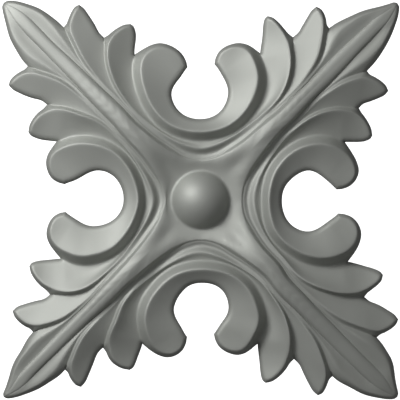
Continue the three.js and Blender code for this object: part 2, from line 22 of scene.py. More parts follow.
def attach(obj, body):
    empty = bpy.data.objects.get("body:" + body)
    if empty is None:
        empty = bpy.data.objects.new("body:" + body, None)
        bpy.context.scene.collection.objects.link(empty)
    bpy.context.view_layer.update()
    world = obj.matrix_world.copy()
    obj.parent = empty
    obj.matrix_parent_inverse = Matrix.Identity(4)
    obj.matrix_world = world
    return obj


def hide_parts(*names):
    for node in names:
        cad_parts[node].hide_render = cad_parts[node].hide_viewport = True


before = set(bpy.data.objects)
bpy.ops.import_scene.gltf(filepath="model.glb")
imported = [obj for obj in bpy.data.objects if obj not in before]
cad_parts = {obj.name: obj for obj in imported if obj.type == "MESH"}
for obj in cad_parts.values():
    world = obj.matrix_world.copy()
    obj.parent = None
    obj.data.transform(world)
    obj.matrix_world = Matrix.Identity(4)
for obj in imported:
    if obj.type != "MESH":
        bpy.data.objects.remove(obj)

LOG = logging.getLogger("rosette")
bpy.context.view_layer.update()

# Overall sizes, in metres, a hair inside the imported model's box
SPAN = 0.16488
RELIEF = 0.0129
BOSS_DIAMETER = 0.0242
BOSS_RISE = 0.00808
# The rounding of the outline: how far in it starts, and how far down it goes
EDGE_ROUNDING = 0.0019
EDGE_DROP = 0.0024

# The drawing's squares, and the height of its highest carving in them
HALF_SQUARES = 198
RELIEF_SQUARES = 31
SQUARE = SPAN / 2 / HALF_SQUARES
LEVEL = RELIEF / RELIEF_SQUARES
BOSS_RADIUS = BOSS_DIAMETER / 2 / SQUARE
BOSS_FILLET = 1.5
BOSS_FOOT = BOSS_RADIUS + BOSS_FILLET

# How finely the drawing is cut along its lines, from the middle of the bay outwards
ARC_STATIONS = 2
LAST_STATION = 9
ARC_STEPS = 10
VALLEY_STEPS = 49
NOTCH_STEP = ARC_STEPS + VALLEY_STEPS
SCROLL_STEPS = 44
LOBE_STEPS = 24
BLADE_STEPS = 44
BOSS_RINGS = 14
FILLET_RINGS = 6
TRAIL_POINTS = 600
# Points nearer than this share of a square are one point
MERGE_SHARE = 1 / 500

# How many rows each sheet gets across, and how they close up at its start and at its end
HOOK_FACE_ROWS = (14, 1.9, 1.5)
HOOK_WALL_ROWS = (10, 1.2, 1.2)
SECOND_FACE_ROWS = (13, 1.7, 1.5)
SECOND_WALL_ROWS = (9, 1.2, 1.2)
FIRST_FACE_ROWS = (12, 1.7, 1.5)
FIRST_WALL_ROWS = (8, 1.2, 1.2)
BLADE_FACE_ROWS = (11, 1.5, 1.2)
GROOVE_ROWS = (9, 1.2, 1.4)
FLANK_ROWS = (5, 1, 1)
STAR_ROWS = (9, 1.5, 1.2)


@dataclass(frozen=True)
class Line:
    """A drawn line of the half leaf, from the middle of the bay outwards.

    It has a point at every station as far as its notch, and its free part runs on from the notch to
    the end of its own lobe. A line that leaves another one shares its points up to that station.
    """

    valley: tuple
    free: tuple = ()
    leaves: int = 0


HOOK_EDGE = Line(
    valley=(
        (0, 82, 20.5), (7, 82.8, 20.4), (13.5, 85.4, 20.2), (19, 89.6, 19.9), (23.5, 94.8, 19.5),
        (26.8, 100.8, 19), (28.3, 107.3, 18.5), (27.2, 113.7, 17.9), (24.3, 119.5, 17.3),
        (20.8, 124.6, 16.8),
    ),
    free=((18.3, 128, 16.3), (16, 130.8, 15.6), (14, 133, 14.8), (12.5, 134.5, 13.8)),
)
HOOK_RIDGE = Line(
    valley=(
        (0, 69, 28), (12.7, 70.3, 27.8), (25.5, 74.3, 27.6), (37, 81.5, 27.4), (45.8, 90.5, 27.2),
        (51.7, 100.5, 26.9), (55, 110.7, 26.4), (56.5, 120.8, 25.4), (55.5, 131, 23.9),
        (51.5, 141, 21.5),
    ),
    free=(
        (46.3, 147, 19.6), (38, 151, 18), (28, 150.8, 16.8), (20, 146, 15.8), (15.5, 140, 14.8),
        (12.5, 134.5, 13.8),
    ),
)
HOOK_FOOT = Line(
    valley=(
        (0, 59.5, 17.6), (14.5, 61, 17.7), (29.2, 65.6, 17.8), (42.8, 74.2, 17.7),
        (52.8, 84.7, 17.3), (60, 95.7, 16.7), (64.5, 107.5, 16), (66.5, 119.5, 14.7),
        (65.5, 132.5, 12.6), (60.5, 145.5, 9.5),
    ),
)
SCROLL_BACK = (
    (57, 148, 10.6), (51, 152, 11.4), (44, 155.5, 12), (35, 157, 12.4), (25, 154, 12.8),
    (17.5, 148, 13.2), (13.5, 140.5, 13.5), (12.5, 134.5, 13.8),
)
SECOND_FRONT = (
    (60.8, 153, 9), (61.2, 163, 8.9), (62.3, 173, 9.5), (64.8, 181, 10.6), (68, 184, 11.3),
)
SECOND_BACK = (
    (90, 165.8, 11.1), (86, 171.3, 11.2), (80, 178, 11.2), (74, 182.5, 11.3), (68, 184, 11.3),
)
SECOND_RIDGE = Line(
    valley=(
        (0, 53, 19.4), (17, 56.8, 20), (33.5, 64.8, 20.2), (49, 75, 20.7), (61.7, 85, 21.8),
        (71.8, 95.2, 23), (80.3, 106.5, 24), (87, 120.5, 24.3), (90.5, 136.5, 22.6),
        (89.5, 151.5, 19.6),
    ),
    free=((87, 159.5, 17.7), (82.3, 169.5, 15.6), (76, 177.8, 13.7), (68, 184, 11.3)),
)
SECOND_FOOT = Line(
    valley=(
        (0, 46.5, 15.2), (16, 49.3, 16.1), (31.8, 58, 18), (46.6, 67.7, 20),
        (60, 78.7, 21.4), (71, 90.2, 21.9), (81.3, 102, 21.1), (89.7, 117, 19.3),
        (94.3, 137, 16.2), (94, 162, 11),
    ),
)
FIRST_FRONT = (
    (99, 167, 11.3), (103, 175, 10.9), (107.5, 184, 10.8), (111, 190, 11), (115.5, 193.8, 11.5),
)
FIRST_BACK = (
    (128.3, 175.5, 12.3), (126.8, 180.5, 12), (124, 186.7, 11.7), (120.3, 191.3, 11.5),
    (115.5, 193.8, 11.5),
)
FIRST_RIDGE = Line(
    leaves=3,
    valley=(
        (59.5, 77, 21.8), (71.4, 88.4, 22.1), (83.9, 100.9, 22), (100.5, 118.3, 21.6),
        (115.8, 141, 21.6), (123, 162, 19.6),
    ),
    free=((124, 170, 18.1), (123.2, 178, 16.3), (120.6, 185.5, 14.3), (115.5, 193.8, 11.5)),
)
FIRST_FOOT = Line(leaves=6, valley=((104.2, 118.4, 21.2), (121, 141, 18), (131, 171.8, 12.8)))
BLADE_EDGE = (
    (138, 177.5, 12), (150, 184.5, 11.2), (163, 191, 10.4), (177, 195.5, 9.5), (187, 198, 8.9),
    (193.5, 198.6, 8.6), (197, 197, 8.5),
)
BLADE_CREST = Line(
    leaves=6,
    valley=((103.7, 116.4, 21.3), (121.1, 137.4, 18.7), (135.8, 159.8, 17.4)),
    free=(
        (142.3, 168.8, 16.4), (149.6, 175.6, 15.5), (157.4, 182, 14.6), (164.8, 186, 13.6),
        (171.6, 189, 12.7), (184.7, 194.3, 10.8), (197, 197, 8.5),
    ),
)
GROOVE = Line(
    valley=(
        (0, 42.5, 16.2), (16, 45.3, 17), (30.8, 54.1, 18.8), (44.8, 63.2, 20.9), (58.3, 74.3, 22.2),
        (72.5, 86.3, 22.6), (86, 99.2, 22.3), (102.9, 114.6, 20.7), (119.9, 131.6, 18.3),
        (137.7, 148.8, 16.2),
    ),
    free=((151.8, 162.1, 14.4), (166.3, 175.9, 12.9), (179, 186.5, 12.2), (197, 197, 8.5)),
)
# Share of the way from the groove to the midline at which the star's rim runs, and its height
RIM = Line(
    valley=(
        (0.19, 17), (0.17, 18.4), (0.18, 22.3), (0.2, 26.2), (0.27, 28.7), (0.31, 29.2),
        (0.36, 27.6), (0.36, 24.6), (0.43, 21.1), (0.52, 18.1),
    ),
    free=((0.6, 16.2), (0.6, 14.2), (0.55, 12.4), (0.5, 8.5)),
)
# The height of the star's field round the boss
FIELD_HEIGHT = 15.6
# The midline from the boss to the tip: distance along the diagonal and height
MIDLINE = Line(
    valley=(
        (48, 19.2), (69.3, 26.9), (92, 30.8), (121.6, 29.6), (147, 26.6), (175.4, 22.6), (201, 19.3),
    ),
    free=((226, 16.9), (247, 14.7), (263, 12.3), (278.6, 8.5)),
)


@dataclass(frozen=True)
class Bay:
    """Marks on the middle of a bay, as distances from the centre."""

    rim: float = 40
    second_ridge: float = SECOND_RIDGE.valley[0][1]
    second_foot: float = SECOND_FOOT.valley[0][1]
    hook_foot: float = HOOK_FOOT.valley[0][1]
    hook_ridge: float = HOOK_RIDGE.valley[0][1]
    hook_floor: float = HOOK_EDGE.valley[0][1]


@dataclass(frozen=True)
class HalfLeaf:
    """Where one half leaf stands, and the marks of its outline. The defaults are the drawing's own.

    The marks are points on the drawing's squares: across, away from the middle of the bay, and up,
    out along the middle of the bay. The midrib's shift is how far the leaf's midrib runs beside the
    diagonal, towards the bay. It is given in the first half leaf of each leaf.
    """

    bay: Bay = field(default_factory=Bay)
    across: tuple = (1, 0)
    up: tuple = (0, 1)
    hook_corner: tuple = HOOK_EDGE.valley[3][:2]
    hook_side: tuple = (28.3, 106)
    hook_bend: tuple = HOOK_RIDGE.valley[4][:2]
    hook_crest: tuple = HOOK_RIDGE.valley[7][:2]
    second_crest: tuple = SECOND_RIDGE.valley[7][:2]
    star_rim: tuple = (71.5, 79.5)
    scroll_lip: tuple = HOOK_EDGE.free[0][:2]
    scroll_tip: tuple = HOOK_EDGE.free[-1][:2]
    scroll_top: tuple = SCROLL_BACK[3][:2]
    hook_notch: tuple = HOOK_FOOT.valley[-1][:2]
    second_front: tuple = SECOND_FRONT[1][:2]
    second_tip: tuple = SECOND_FRONT[-1][:2]
    second_back: tuple = SECOND_BACK[1][:2]
    second_notch: tuple = SECOND_FOOT.valley[-1][:2]
    first_front: tuple = FIRST_FRONT[1][:2]
    first_tip: tuple = FIRST_FRONT[-1][:2]
    first_back: tuple = FIRST_BACK[1][:2]
    first_notch: tuple = FIRST_FOOT.valley[-1][:2]
    blade_root: tuple = BLADE_EDGE[1][:2]
    blade_side: tuple = BLADE_EDGE[2][:2]
    blade_end: tuple = BLADE_EDGE[4][:2]
    midrib_shift: float = 0

    def marks(self) -> dict[str, tuple]:
        """Give the marks by name.

        Returns:
            The points, in the order of the fields.
        """
        placing = ("bay", "across", "up", "midrib_shift")
        names = [each.name for each in fields(self) if each.name not in placing]
        return {name: getattr(self, name) for name in names}


RIGHT_BAY = Bay(
    rim=41, second_ridge=54.5, second_foot=45.5, hook_foot=60, hook_ridge=68.5, hook_floor=81.5,
)
TOP_BAY = Bay(
    rim=38, second_ridge=51.5, second_foot=45.5, hook_foot=58.5, hook_ridge=68, hook_floor=81,
)
LEFT_BAY = Bay(
    rim=34, second_ridge=47.5, second_foot=41, hook_foot=54.5, hook_ridge=62, hook_floor=77,
)
BOTTOM_BAY = Bay(
    rim=39.5, second_ridge=53.5, second_foot=43.5, hook_foot=59, hook_ridge=69.5, hook_floor=83,
)

# The eight half leaves in order round the rosette, from the right bay upwards. Even ones run from
# their bay to the leaf's tip, and odd ones run back from the tip to the next bay.
HALF_LEAVES = (
    HalfLeaf(
        bay=RIGHT_BAY, across=(0, 1), up=(1, 0),
        hook_corner=(19.5, 89.5), hook_side=(29.5, 107), hook_bend=(46, 90.5),
        hook_crest=(55.5, 120.5), second_crest=(86.5, 120), scroll_lip=(17, 129.5),
        scroll_tip=(10.5, 136), scroll_top=(30, 158.5), hook_notch=(58, 144.5),
        second_front=(58, 159), second_tip=(64.5, 171.8), second_back=(83, 164.5),
        second_notch=(92, 158.5), first_front=(98.5, 170), first_tip=(109, 188),
        first_back=(123, 174.5), first_notch=(129, 166.5), blade_root=(148, 182),
        blade_side=(162.5, 190), blade_end=(187, 198.5), midrib_shift=1,
    ),
    HalfLeaf(
        bay=TOP_BAY, across=(1, 0), up=(0, 1),
        hook_corner=(20, 89), hook_side=(27.5, 106), hook_bend=(45.5, 90.5),
        hook_crest=(57, 121.5), second_crest=(87, 120), scroll_lip=(19, 129),
        scroll_tip=(14, 136), scroll_top=(37, 157), hook_notch=(59.5, 147),
        second_front=(62, 164), second_tip=(67, 184), second_back=(84, 171),
        second_notch=(92.5, 163), first_front=(102, 174.5), first_tip=(116, 193.5),
        first_back=(126, 180), first_notch=(128.5, 172), blade_root=(149, 183.5),
        blade_side=(163, 189.5), blade_end=(188, 196),
    ),
    HalfLeaf(
        bay=TOP_BAY, across=(-1, 0), up=(0, 1),
        hook_corner=(21, 88.5), hook_side=(29, 105), hook_bend=(46, 90.5),
        hook_crest=(58, 120.5), second_crest=(87, 121), scroll_lip=(18, 125.5),
        scroll_tip=(13, 133), scroll_top=(40, 157), hook_notch=(66, 145.5),
        second_front=(64.5, 160.5), second_tip=(70, 176), second_back=(88, 168.5),
        second_notch=(96.5, 162.5), first_front=(105.5, 175.5), first_tip=(121.5, 195.5),
        first_back=(132, 181), first_notch=(137, 173), blade_root=(151, 185),
        blade_side=(162, 192), blade_end=(187, 199.5), midrib_shift=1,
    ),
    HalfLeaf(
        bay=LEFT_BAY, across=(0, 1), up=(-1, 0),
        hook_corner=(22.5, 85.5), hook_side=(29.5, 103), hook_bend=(48, 87.5),
        hook_crest=(56, 119), second_crest=(84.5, 119.5), scroll_lip=(18.5, 127.5),
        scroll_tip=(16, 136), scroll_top=(38, 154.5), hook_notch=(58.5, 144),
        second_front=(60, 158), second_tip=(68, 172), second_back=(87.5, 162.5),
        second_notch=(95.5, 153.5), first_front=(102, 169.5), first_tip=(115, 192),
        first_back=(128.5, 180), first_notch=(134, 173), blade_root=(150, 184.5),
        blade_side=(162.5, 191), blade_end=(187.5, 197.5),
    ),
    HalfLeaf(
        bay=LEFT_BAY, across=(0, -1), up=(-1, 0),
        hook_corner=(20, 87.5), hook_side=(26, 107), hook_bend=(47, 88),
        hook_crest=(55.5, 118), second_crest=(88, 116), scroll_lip=(17, 128),
        scroll_tip=(12, 135), scroll_top=(35, 154), hook_notch=(58.5, 140),
        second_front=(60, 155.5), second_tip=(66, 171), second_back=(86, 160),
        second_notch=(94.5, 150.5), first_front=(101, 165.5), first_tip=(111, 188),
        first_back=(126.5, 175.5), first_notch=(132, 167.5), blade_root=(150.5, 179.5),
        blade_side=(163, 187), blade_end=(188, 195),
    ),
    HalfLeaf(
        bay=BOTTOM_BAY, across=(-1, 0), up=(0, -1),
        hook_corner=(17.5, 91), hook_side=(26.5, 108), hook_bend=(44, 92),
        hook_crest=(55, 120), second_crest=(83, 119), scroll_lip=(17.5, 130),
        scroll_tip=(13.5, 137), scroll_top=(34, 157.5), hook_notch=(58, 144),
        second_front=(62.5, 156.5), second_tip=(71, 169.8), second_back=(91.5, 159),
        second_notch=(97.5, 147.5), first_front=(107, 163.5), first_tip=(119.5, 187),
        first_back=(131, 176.5), first_notch=(135.5, 170), blade_root=(150.5, 182),
        blade_side=(162, 189), blade_end=(187, 198),
    ),
    HalfLeaf(
        bay=BOTTOM_BAY, across=(1, 0), up=(0, -1),
        hook_corner=(21, 89.5), hook_side=(28, 107), hook_bend=(47.5, 89.5),
        hook_crest=(57.5, 120), second_crest=(85.5, 120.5), scroll_lip=(18, 127),
        scroll_tip=(13.5, 134), scroll_top=(36, 155), hook_notch=(57, 144),
        second_front=(59, 162), second_tip=(65, 183), second_back=(85.5, 169.5),
        second_notch=(93.5, 159), first_front=(103, 173.5), first_tip=(117.5, 195.5),
        first_back=(127, 183.5), first_notch=(132, 176.5), blade_root=(150.5, 188),
        blade_side=(163, 194.5), blade_end=(187.5, 199.5), midrib_shift=2.5,
    ),
    HalfLeaf(
        bay=RIGHT_BAY, across=(0, -1), up=(1, 0),
        hook_corner=(23, 89), hook_side=(31.5, 107), hook_bend=(47, 91),
        hook_crest=(57, 122), second_crest=(88, 121.5), scroll_lip=(19, 131),
        scroll_tip=(13.5, 138), scroll_top=(34, 161), hook_notch=(61.5, 147.5),
        second_front=(66, 164), second_tip=(75, 182.5), second_back=(89.5, 171.5),
        second_notch=(97, 164), first_front=(104.5, 178), first_tip=(119.5, 198),
        first_back=(132.5, 184.5), first_notch=(137.5, 176.5), blade_root=(151, 186.5),
        blade_side=(162.5, 192.5), blade_end=(187.5, 196.5),
    ),
)
# Distances along the diagonal at which the midline is held
MIDLINE_MARKS = (40, 80, 110, 140, 160, 180, 200, 220, 240, 278.6)


class Spline:
    """A smooth curve through knots, eased by the root of the distance between them."""

    # How much evenly laid points close up towards the end, with 1 for not at all
    CLOSING = 1.25

    def __init__(self, knots: np.ndarray, mirrored: bool = False) -> None:
        """Keep the knots, with one more beyond each end.

        Args:
            knots: The points that the curve passes, one row each.
            mirrored: Whether the curve runs on beyond its start as its own mirror image across.
        """
        knots = np.asarray(knots, dtype=float)
        before = 2 * knots[0] - knots[1]
        if mirrored:
            before = knots[1] * np.array([-1, 1, 1][: knots.shape[1]])
        after = 2 * knots[-1] - knots[-2]
        self.spans = len(knots) - 1
        self.knots = np.vstack([before, knots, after])

    def at(self, places: np.ndarray) -> np.ndarray:
        """Give points of the curve.

        Args:
            places: Where on the curve, counted in knots.

        Returns:
            One row for each place.
        """
        places = np.atleast_1d(np.asarray(places, dtype=float))
        span = np.clip(np.floor(places).astype(int), 0, self.spans - 1)
        share = (places - span)[:, None]
        p0, p1, p2, p3 = (self.knots[span + k] for k in range(4))
        gap0 = np.maximum(np.linalg.norm(p1 - p0, axis=1), 1e-9)[:, None] ** 0.5
        gap1 = np.maximum(np.linalg.norm(p2 - p1, axis=1), 1e-9)[:, None] ** 0.5
        gap2 = np.maximum(np.linalg.norm(p3 - p2, axis=1), 1e-9)[:, None] ** 0.5
        leave = ((p1 - p0) / gap0 - (p2 - p0) / (gap0 + gap1) + (p2 - p1) / gap1) * gap1
        reach = ((p2 - p1) / gap1 - (p3 - p1) / (gap1 + gap2) + (p3 - p2) / gap2) * gap1
        cubic = 2 * p1 - 2 * p2 + leave + reach
        square = -3 * p1 + 3 * p2 - 2 * leave - reach
        return ((cubic * share + square) * share + leave) * share + p1

    def evenly(self, start: float, steps: int) -> np.ndarray:
        """Give points at even distances from a place to the end, closing up towards the end.

        Args:
            start: Where to start, counted in knots. The start itself isn't given.
            steps: How many points to give.

        Returns:
            One row for each step.
        """
        trail = self.at(np.linspace(start, self.spans, TRAIL_POINTS))
        lengths = np.concatenate([[0], np.cumsum(np.linalg.norm(np.diff(trail, axis=0), axis=1))])
        shares = 1 - (1 - np.arange(1, steps + 1) / steps) ** self.CLOSING
        wanted = shares * lengths[-1]
        return np.stack([np.interp(wanted, lengths, column) for column in trail.T], axis=1)


def stations() -> np.ndarray:
    """Give the station of every step as far as the notch.

    Returns:
        One station for each step.
    """
    arc = np.linspace(0, ARC_STATIONS, ARC_STEPS + 1)
    valley = np.linspace(ARC_STATIONS, LAST_STATION, VALLEY_STEPS + 1)[1:]
    return np.concatenate([arc, valley])


def ramp(width: float, shares: np.ndarray, start_roll: float, end_roll: float) -> np.ndarray:
    """Give a rise from 0 to 1 that starts and ends level.

    Args:
        width: The distance across, in squares.
        shares: Where across, from 0 to 1.
        start_roll: The length of the rounding at the start, in squares.
        end_roll: The length of the rounding at the end, in squares.

    Returns:
        The height at each share.
    """
    width = max(width, 1e-6)
    fit = min(1.0, width / max(start_roll + end_roll, 1e-6))
    start = max(start_roll * fit / width, 1e-6)
    end = max(end_roll * fit / width, 1e-6)
    slope = 1 / (1 - (start + end) / 2)
    rise = slope * (shares - start / 2)
    rise = np.where(shares < start, slope * shares**2 / (2 * start), rise)
    return np.where(shares > 1 - end, 1 - slope * (1 - shares) ** 2 / (2 * end), rise)


def hollow_rise(width: float, shares: np.ndarray, power: float, ridge_roll: float) -> np.ndarray:
    """Give a hollow rise from 0 to 1 that rolls level at its ridge.

    Args:
        width: The distance across, in squares.
        shares: Where across, from 0 to 1.
        power: How hollow the rise is, with 1 for a straight one.
        ridge_roll: The length of the rounding at the ridge, in squares.

    Returns:
        The height at each share.
    """
    roll = float(np.clip(ridge_roll / max(width, 1e-6), 0.02, 0.5))
    straight = 1 - roll
    slope = power * straight ** (power - 1)
    top = straight**power + slope * roll / 2
    past = np.maximum(shares - straight, 0)
    rolled = straight**power + slope * (past - past**2 / (2 * roll))
    return np.where(shares <= straight, shares**power, rolled) / top


def spread(count: int, start: float, end: float) -> np.ndarray:
    """Give shares from 0 to 1 that close up towards either end.

    Args:
        count: How many spaces there are.
        start: How much the spaces close up at the start, with 1 for evenly.
        end: How much the spaces close up at the end, with 1 for evenly.

    Returns:
        One more share than spaces.
    """
    even = np.linspace(0, 1, count + 1)
    from_start = even**start
    from_end = 1 - (1 - even) ** end
    return from_start * (1 - even) + from_end * even


def widths(start: np.ndarray, end: np.ndarray) -> np.ndarray:
    """Give the distances between the points of two lines, seen from the front.

    Args:
        start: The points of one line.
        end: The points of the other line.

    Returns:
        One distance for each pair of points, in squares.
    """
    return np.hypot(*(end - start)[:, :2].T)


class BentPlate:
    """A thin plate bent over supports, which is the smoothest sheet near them."""

    # How much it may miss a support, with 0 for not at all
    SOFTNESS = 2.0

    def __init__(self, supports: np.ndarray) -> None:
        """Bend the plate.

        Args:
            supports: The x, y and height of the supports, one row each.
        """
        self.at = supports[:, :2]
        count = len(supports)
        flat = np.column_stack([np.ones(count), self.at])
        bend = self.bend(self.at) + self.SOFTNESS * np.eye(count)
        whole = np.block([[bend, flat], [flat.T, np.zeros((3, 3))]])
        self.weights = np.linalg.solve(whole, np.concatenate([supports[:, 2], np.zeros(3)]))

    def bend(self, points: np.ndarray) -> np.ndarray:
        """Give the plate's unit bend over each support.

        Args:
            points: The x and y of the points, one row each.

        Returns:
            One row for each point, and one column for each support.
        """
        gaps = np.linalg.norm(points[:, None, :] - self.at[None, :, :], axis=2)
        return gaps**2 * np.log(np.maximum(gaps, 1e-9))

    def heights(self, points: np.ndarray) -> np.ndarray:
        """Give the plate's heights.

        Args:
            points: The x and y of the points, one row each.

        Returns:
            The height at each point.
        """
        flat = np.column_stack([np.ones(len(points)), points])
        return np.hstack([self.bend(points), flat]) @ self.weights


@dataclass
class HalfLeafDrawing:
    """Lays sheets between the drawn lines of the half leaf, in squares.

    The rolls are the lengths of the roundings. The hollows say how hollow a face is, with 1 for a
    straight one.
    """

    ridge_roll: float = 1.8
    crest_roll: float = 4.5
    groove_roll: float = 5.5
    flank_roll: float = 1.5
    wall_roll: float = 2.2
    wall_fillet: float = 3.0
    hook_hollow: float = 1.3
    root_hollow: float = 2.0
    lobe_hollow: float = 1.2
    blade_hollow: float = 1.1
    field_lean: float = 0.75
    midrib_bulge: float = 0.36
    boss_foot_angle: float = math.radians(62)
    strips: list = field(default_factory=list)
    edge: np.ndarray | None = None

    # Shares of the way to the notch: where a face's hollow starts to change, and over how much
    HOLLOW_EASE = 0.6
    HOLLOW_SPAN = 0.35
    # Steps over which a wall turns into a free edge, the star leans and its plate fades out
    FREE_STEPS = 9
    LEAN_STEPS = 14
    PLATE_STEPS = 20
    # Between which steps the midrib's rounding comes in
    MIDRIB_STEPS = (NOTCH_STEP - 36, NOTCH_STEP - 18)
    # The plate's supports: how many steps apart, how far the rim is level, and how far in the boss
    SUPPORT_STEPS = 3
    LEVEL_RIM = 0.12
    UNDER_BOSS = 0.85

    def valley(self, line: Line, trunk: np.ndarray | None = None) -> tuple:
        """Give the points of a line as far as its notch.

        Args:
            line: The line as drawn.
            trunk: The points of the line that it leaves, if any.

        Returns:
            The points, the line's whole curve and the notch's place on it.
        """
        places = stations()
        knots = [*line.valley, *line.free]
        if trunk is None:
            curve = Spline(knots, mirrored=True)
            return curve.at(places), curve, len(line.valley) - 1
        shared = trunk[: int(np.sum(places <= line.leaves + 1e-9))]
        curve = Spline([tuple(shared[-1]), *knots])
        own = curve.at(places[len(shared):] - line.leaves)
        return np.vstack([shared, own]), curve, len(line.valley)

    def flowing(self, line: Line, steps: int, trunk: np.ndarray | None = None) -> np.ndarray:
        """Give the points of a line that runs smoothly through its notch.

        Args:
            line: The line as drawn.
            steps: How many points its free part gets.
            trunk: The points of the line that it leaves, if any.

        Returns:
            The points.
        """
        points, curve, joint = self.valley(line, trunk)
        return np.vstack([points, curve.evenly(joint, steps)])

    def cornered(self, points: np.ndarray, outline: tuple, steps: int) -> np.ndarray:
        """Give the points of a line that turns at its notch into the outline of a lobe.

        Args:
            points: The points as far as the notch.
            outline: The outline's own drawn points.
            steps: How many points the outline gets.

        Returns:
            The points.
        """
        notch = points[NOTCH_STEP]
        return np.vstack([points, Spline([tuple(notch), *outline]).evenly(0, steps)])

    def midline(self) -> np.ndarray:
        """Give the points round the boss's foot and out along the leaf's midline.

        Returns:
            The points.
        """
        places = stations()
        angle = math.pi / 2 - places[:ARC_STEPS] / ARC_STATIONS * math.pi / 4
        level = np.full(ARC_STEPS, FIELD_HEIGHT)
        arc = np.stack([BOSS_FOOT * np.cos(angle), BOSS_FOOT * np.sin(angle), level], axis=1)
        under_boss = (BOSS_FOOT / 2, FIELD_HEIGHT)
        start = (BOSS_FOOT, FIELD_HEIGHT)
        curve = Spline([under_boss, start, *MIDLINE.valley, *MIDLINE.free])
        valley = curve.at(places[ARC_STEPS:] - ARC_STATIONS + 1)
        free = curve.evenly(len(MIDLINE.valley) + 1, BLADE_STEPS)
        away, height = np.vstack([valley, free]).T
        sideways = away * math.sqrt(0.5)
        return np.vstack([arc, np.stack([sideways, sideways, height], axis=1)])

    def rim(self, groove: np.ndarray, middle: np.ndarray) -> np.ndarray:
        """Give the points of the star's rim.

        Args:
            groove: The points of the groove outside it.
            middle: The points of the midline inside it.

        Returns:
            The points.
        """
        curve = Spline([*RIM.valley, *RIM.free])
        past = LAST_STATION + np.arange(1, BLADE_STEPS + 1) / BLADE_STEPS * len(RIM.free)
        shares, heights = curve.at(np.concatenate([stations(), past])).T
        points = groove + (middle - groove) * shares[:, None]
        points[:, 2] = heights
        points[-1, 2] = groove[-1, 2]
        return points

    def lay(self, start: np.ndarray, end: np.ndarray, shares: np.ndarray, rises: list) -> None:
        """Lay a sheet between two lines.

        Args:
            start: The points of the line at share 0.
            end: The points of the line at share 1.
            shares: Where across the sheet gets its rows.
            rises: For each step, the rise at each share.
        """
        rows = start[:, None, :] + (end - start)[:, None, :] * shares[None, :, None]
        rows[:, :, 2] = start[:, None, 2] + (end - start)[:, None, 2] * np.asarray(rises)
        self.strips.append(rows)

    def face(
        self, foot: np.ndarray, ridge: np.ndarray, rows: tuple, root_hollow: float,
        hollow: float, roll: float,
    ) -> None:
        """Lay a face that rises to a ridge.

        Args:
            foot: The points of its foot or free edge.
            ridge: The points of its ridge.
            rows: How its rows are spread.
            root_hollow: How hollow it is near the middle of the bay.
            hollow: How hollow it is near the notch and beyond.
            roll: The length of the rounding at its ridge, in squares.
        """
        shares = spread(*rows)
        rises = []
        for step, width in enumerate(widths(foot, ridge)):
            out = float(np.clip((step / NOTCH_STEP - self.HOLLOW_EASE) / self.HOLLOW_SPAN, 0, 1))
            eased = root_hollow + (hollow - root_hollow) * out
            rises.append(hollow_rise(width, shares, eased, roll))
        self.lay(foot, ridge, shares, rises)

    def wall(self, ridge: np.ndarray, foot: np.ndarray, rows: tuple) -> None:
        """Lay a wall that drops from a ridge to a foot, or rolls over to a free edge.

        Args:
            ridge: The points of its ridge.
            foot: The points of its foot or free edge.
            rows: How its rows are spread.
        """
        shares = spread(*rows)
        rolled = 1 - np.cos(shares * math.pi / 2)
        rises = []
        for step, width in enumerate(widths(ridge, foot)):
            free = float(np.clip((step - NOTCH_STEP) / self.FREE_STEPS, 0, 1))
            dropped = ramp(width, shares, self.wall_roll, self.wall_fillet)
            rises.append(dropped * (1 - free) + rolled * free)
        self.lay(ridge, foot, shares, rises)

    def slope(
        self, start: np.ndarray, end: np.ndarray, rows: tuple, start_roll: float, end_roll: float,
    ) -> np.ndarray:
        """Lay a slope that starts and ends level.

        Args:
            start: The points of the line where it starts.
            end: The points of the line where it ends.
            rows: How its rows are spread.
            start_roll: The length of the rounding at its start, in squares.
            end_roll: The length of the rounding at its end, in squares.

        Returns:
            The sheet.
        """
        shares = spread(*rows)
        rises = [ramp(width, shares, start_roll, end_roll) for width in widths(start, end)]
        self.lay(start, end, shares, rises)
        return self.strips[-1]

    def star(self, rim: np.ndarray, middle: np.ndarray, rows: tuple) -> np.ndarray:
        """Lay the star from its rim inwards, so that it crosses the midline without a crease.

        Past the notch it is a plain curve from rim to midline. Before it, it is more and more a
        plate bent over the rims and midlines of the whole star.

        Args:
            rim: The points of the star's rim.
            middle: The points of the boss's foot and the midline, which get the plate's heights.
            rows: How its rows are spread.

        Returns:
            The sheet.
        """
        shares = spread(*rows)
        across = (middle - rim)[:, :2]
        away = np.hypot(middle[:, 0], middle[:, 1])
        outward = middle[:, :2] / away[:, None]
        slope = np.zeros(len(middle))
        slope[ARC_STEPS:] = np.gradient(middle[ARC_STEPS:, 2], away[ARC_STEPS:])
        slope[:ARC_STEPS] = slope[ARC_STEPS]
        past_arc = np.clip((np.arange(len(rim)) - ARC_STEPS) / self.LEAN_STEPS, 0, 1)[:, None]
        lean = self.field_lean + (1 - self.field_lean) * past_arc
        reach = ((across * outward).sum(axis=1) * slope)[:, None] / lean
        leant = shares[None, :] ** lean
        risen = 3 * leant**2 - 2 * leant**3
        self.lay(rim, middle, shares, [shares] * len(rim))
        sheet = self.strips[-1]
        sheet[:, :, 2] = (
            (1 - risen) * rim[:, 2:3] + risen * middle[:, 2:3] + (leant**3 - leant**2) * reach
        )
        inner = sheet[: NOTCH_STEP + 1]
        plate = BentPlate(self.star_supports(rim, middle))
        bent = plate.heights(inner[:, :, :2].reshape(-1, 2)).reshape(inner.shape[:2])
        bent += (rim[: NOTCH_STEP + 1, 2:3] - bent[:, :1]) * (1 - shares[None, :]) ** 2
        amount = np.clip((NOTCH_STEP - np.arange(NOTCH_STEP + 1)) / self.PLATE_STEPS, 0, 1)
        inner[:, :, 2] += (bent - inner[:, :, 2]) * amount[:, None]
        middle[:, 2] = sheet[:, -1, 2]
        return sheet

